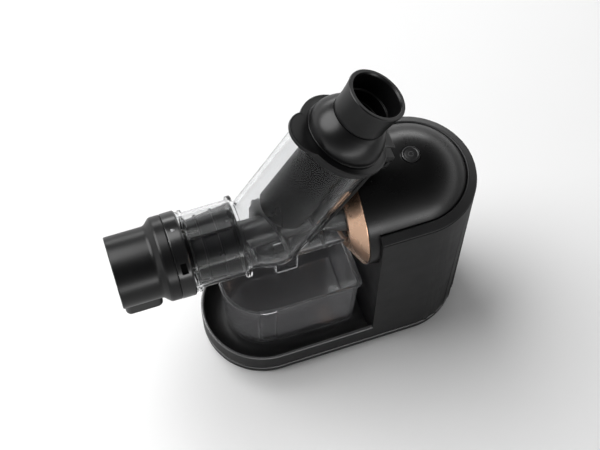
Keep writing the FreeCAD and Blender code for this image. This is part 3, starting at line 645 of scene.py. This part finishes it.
# ---------------------------------------------------------------- pusher
prof = rounded([(30.0, 0.0001), (30.0, 21.0, 3.5), (128.8, 21.0), (128.8, 31.1, 0.5)] + bow((128.8, 31.1), (150.2, 21.9), 2.7, 14)
               + [(150.2, 21.6, 0.3), (150.2, 18.3), (139.0, 18.3), (139.0, 14.5), (56.0, 14.0), (56.0, 0.0001)], 6)
shaft = rounded([(30.0, 0.0001), (30.0, 21.0, 3.5), (128.7, 21.0), (128.7, 14.0), (56.0, 14.0), (56.0, 0.0001)], 6)
prof = rounded([(128.8, 14.2), (128.8, 31.5, 0.3), (130.0, 31.5, 0.4), (130.3, 30.8)] + bow((130.3, 30.8), (150.2, 21.9), 2.4, 14)
               + [(150.2, 21.5, 0.8), (150.2, 18.3), (139.0, 18.3), (139.0, 14.5)], 6)
v, f = lathe(shaft, FEED_O, FEED_A, FEED_U, 180)
scoop = blank("scoop", *lathe([(-120, 0), (-120, 27.0), (40, 27.0), (40, 0)], ON_AXIS, AX, AZ, 144))
build("pusher_shaft", v, f, "shaft_black", "pusher", "pusher_body", cutters=((scoop, "DIFFERENCE"),), sharp=40, slot="satin_black")
v, f = lathe(prof, FEED_O, FEED_A, FEED_U, 180)
build("pusher_bell", v, f, "satin_black", "pusher", "pusher_body", sharp=40)

outer = [(150.25, 20.4), (150.35, 21.0, 0.3), (151.3, 21.5)] + [(151.2 + 24.4 * k / 10, 21.5 + 2.2 * (k / 10) ** 2.2) for k in range(1, 10)]
prof = rounded(outer + [(175.5, 23.75, 0.5), (176.2, 23.1, 0.4), (176.2, 20.6, 0.5), (174.6, 19.9, 0.5), (173.0, 19.55), (160.0, 18.7, 0.3),
                        (159.6, 17.5, 0.3), (150.0, 17.1, 0.2), (149.6, 16.2, 0.2), (139.05, 15.7), (139.05, 18.2), (150.25, 18.2)], 5)
v, f = lathe(prof, FEED_O, FEED_A, FEED_U, 180)
build("pusher_handle", v, f, "satin_black", "pusher", "pusher_cup", sharp=40)

# ---------------------------------------------------------------- pulp container
def d_outline(r, back, near=0.0, n_arc=72, k=5.0):
    """Front half circle about x = -64, straight sides, rounded back corners. near sinks the grip recess in the near wall."""
    c = -64.0
    pts = []
    xs = [c + (back - k - c) * i / 60 for i in range(61)]
    for x in xs:
        pts.append((x, -r))
    for i in range(1, 8):
        a = -math.pi / 2 + math.pi / 2 * i / 8
        pts.append((back - k + k * math.cos(a), -r + k + k * math.sin(a)))
    for i in range(13):
        pts.append((back, -r + k + (2 * r - 2 * k) * i / 12))
    for i in range(1, 8):
        a = math.pi / 2 * i / 8
        pts.append((back - k + k * math.cos(a), r - k + k * math.sin(a)))
    for i in range(60, -1, -1):
        pts.append((xs[i], r))
    for i in range(1, n_arc):
        a = math.pi / 2 + math.pi * i / n_arc
        pts.append((c + r * math.cos(a), r * math.sin(a)))
    if near:
        out = []
        for x, y in pts:
            e = max(0.0, min(1.0, (x + 76.6) / 1.4)) * max(0.0, min(1.0, (-60.0 - x) / 1.4))
            e = e * e * (3 - 2 * e)
            out.append((x, y + near * e if y < -20 else y))
        pts = out
    return pts


def ring_at(z, r, back, near=0.0):
    return [m(x, y, z) for x, y in d_outline(r, back, near)]


loops = []
outer_rows = [(11.05, 31.6, 9.6), (11.25, 32.9, 10.9), (12.0, 34.0, 12.0), (13.2, 34.6, 12.6)]
for z, r, b in outer_rows:
    loops.append(ring_at(z, r, b))
for z in (18.0, 23.0):
    loops.append(ring_at(z, 34.6 + 2.2 * (z - 13) / 75, 12.6 + 2.0 * (z - 13) / 75))
for z in (24.4, 30.0, 40.0, 55.0, 70.0, 82.0):
    loops.append(ring_at(z, 34.6 + 2.2 * (z - 13) / 75, 12.6 + 2.0 * (z - 13) / 75, 1.8))
loops.append(ring_at(85.4, 36.75, 14.6, 1.6))
loops.append(ring_at(85.75, 37.0, 14.8, 1.0))
loops.append(ring_at(85.9, 37.4, 17.0, 0.3))
loops.append(ring_at(86.3, 37.6, 17.4))
loops.append(ring_at(87.6, 37.6, 17.4))
loops.append(ring_at(87.95, 37.3, 17.1))
loops.append(ring_at(88.0, 36.9, 16.7))
loops.append(ring_at(88.0, 35.3, 13.2))
loops.append(ring_at(87.8, 34.9, 12.7))
loops.append(ring_at(87.0, 34.7, 12.4, 0.6))
for z in (84.0, 70.0, 55.0, 40.0, 30.0, 24.0):
    loops.append(ring_at(z, 32.5 + 2.2 * (z - 13.6) / 75, 10.4 + 2.0 * (z - 13.6) / 75, 1.8))
for z in (22.0, 17.0):
    loops.append(ring_at(z, 32.5 + 2.2 * (z - 13.6) / 75, 10.4 + 2.0 * (z - 13.6) / 75))
loops.append(ring_at(15.2, 32.1, 10.0))
loops.append(ring_at(14.0, 31.2, 9.1))
loops.append(ring_at(13.6, 30.0, 7.9))
v, f = stack(loops, True, True, around=False)
build("pulp_tub", v, f, "smoky", "pulp_container", "pulp_container", sharp=50)

# ---------------------------------------------------------------- button
BX = 63.5
prof = rounded([(0.2, 0.0001), (0.2, 4.6), (0.0, 5.0), (0.0, 5.4), (0.2, 5.8), (0.2, 6.4), (0.0, 7.4, 0.5), (-9.2, 7.6), (-9.2, 5.6), (-2.8, 5.6),
                (-2.8, 0.0001)], 4)
v, f = lathe(prof, m(BX, 0, 223.5), AZ, AX, 96)
build("button_cap", v, f, "button_black", "power_button", "power_button")
ringp = [(2.3 * math.cos(math.radians(a)), 2.3 * math.sin(math.radians(a))) for a in range(30, 331, 10)]
ringp += [(1.85 * math.cos(math.radians(a)), 1.85 * math.sin(math.radians(a))) for a in range(330, 29, -10)]
flat_piece("power_ring", ringp, lambda a, b: m(BX + a, b, 223.79), lambda a, b: m(BX + a, b, 223.6), "power_button", "button_black",
           "mark_dim")
flat_piece("power_bar", [(1.0, -0.22), (2.7, -0.22), (2.7, 0.22), (1.0, 0.22)], lambda a, b: m(BX + a, b, 223.79),
           lambda a, b: m(BX + a, b, 223.6), "power_button", "button_black", "mark_dim")

# ---------------------------------------------------------------- floor, camera, light
bm = bmesh.new()
bmesh.ops.create_circle(bm, cap_ends=True, segments=96, radius=4.0)
me = bpy.data.meshes.new("floor")
bm.to_mesh(me)
bm.free()
floor = bpy.data.objects.new("floor", me)
bpy.context.scene.collection.objects.link(floor)
floor.location = (0, 0, -0.0002)
ft = Tree("floor_white")
fb = ft.n("ShaderNodeBsdfDiffuse")
lp = ft.n("ShaderNodeLightPath")
# glossy reflection rays see the floor painted darker (0.50 against 0.86): painted shade in the floor's reflections on
# the plastics
both = ft.n("ShaderNodeMath", operation="MULTIPLY")
ft.link(lp.outputs["Is Glossy Ray"], both.inputs[0])
ft.link(lp.outputs["Is Reflection Ray"], both.inputs[1])
dim = ft.n("ShaderNodeMix", data_type="RGBA")
ft.link(both.outputs[0], dim.inputs["Factor"])
ft.link(ft.ramp(ft.noise(3.0), [(0.3, (0.86, 0.86, 0.86)), (0.7, (0.88, 0.88, 0.88))]), dim.inputs["A"])
dim.inputs["B"].default_value = (0.50, 0.50, 0.50, 1.0)
ft.link(dim.outputs["Result"], fb.inputs["Color"])
ft.link(fb.outputs["BSDF"], ft.out.inputs["Surface"])
me.materials.append(ft.mat)

az, el, roll = math.radians(-19.111), math.radians(62.119), math.radians(0.526)
back = Vector((math.sin(az) * math.cos(el), -math.cos(az) * math.cos(el), math.sin(el)))
fwd = -back
right = fwd.cross(Vector((0, 0, 1))).normalized()
up = right.cross(fwd)
right2 = right * math.cos(roll) + up * math.sin(roll)
up2 = up * math.cos(roll) - right * math.sin(roll)
cam_data = bpy.data.cameras.new("camera")
cam_data.lens = 75.447
cam_data.sensor_width = 36.0
cam_data.sensor_fit = "HORIZONTAL"
cam = bpy.data.objects.new("camera", cam_data)
bpy.context.scene.collection.objects.link(cam)
mw = Matrix((right2, up2, back)).transposed().to_4x4()
mw.translation = Vector((-0.15421, -0.45739, 1.07383))
cam.matrix_world = mw
bpy.context.scene.camera = cam


def area(name, toward, dist, size, power, size_y=None, aim=(0.03, 0.0, 0.12)):
    d = bpy.data.lights.new(name, "AREA")
    d.shape = "ELLIPSE"
    d.size = size
    d.size_y = size_y or size
    d.energy = power
    o = bpy.data.objects.new(name, d)
    bpy.context.scene.collection.objects.link(o)
    v = Vector(toward).normalized()
    o.location = Vector(aim) + v * dist
    o.rotation_euler = v.to_track_quat("Z", "Y").to_euler()
    return o


area("key", (-0.42, 0.38, 0.82), 1.9, 1.9, 50.0)
area("front_fill", (0.1, -0.98, 0.1), 2.2, 2.6, 12.0, 0.45)
area("back_rim", (0.28, 0.94, 0.2), 2.2, 2.4, 9.0, 0.5)

world = bpy.data.worlds.new("studio")
bpy.context.scene.world = world
world.use_nodes = True
wt = world.node_tree
wt.nodes.clear()
wo = wt.nodes.new("ShaderNodeOutputWorld")
bg = wt.nodes.new("ShaderNodeBackground")
tc = wt.nodes.new("ShaderNodeTexCoord")
sx = wt.nodes.new("ShaderNodeSeparateXYZ")
rp = wt.nodes.new("ShaderNodeValToRGB")
el_ = rp.color_ramp.elements
el_[0].position, el_[0].color = 0.10, (1.5, 1.5, 1.5, 1.0)
el_[1].position, el_[1].color = 0.75, (0.08, 0.08, 0.08, 1.0)
mid = el_.new(0.36)
mid.color = (0.30, 0.30, 0.30, 1.0)
wt.links.new(tc.outputs["Generated"], sx.inputs["Vector"])
wt.links.new(sx.outputs["Z"], rp.inputs["Fac"])
wt.links.new(rp.outputs["Color"], bg.inputs["Color"])
bg.inputs["Strength"].default_value = 1.0
wt.links.new(bg.outputs["Background"], wo.inputs["Surface"])
bpy.context.scene.view_settings.view_transform = "Standard"
bpy.context.scene.view_settings.look = "None"
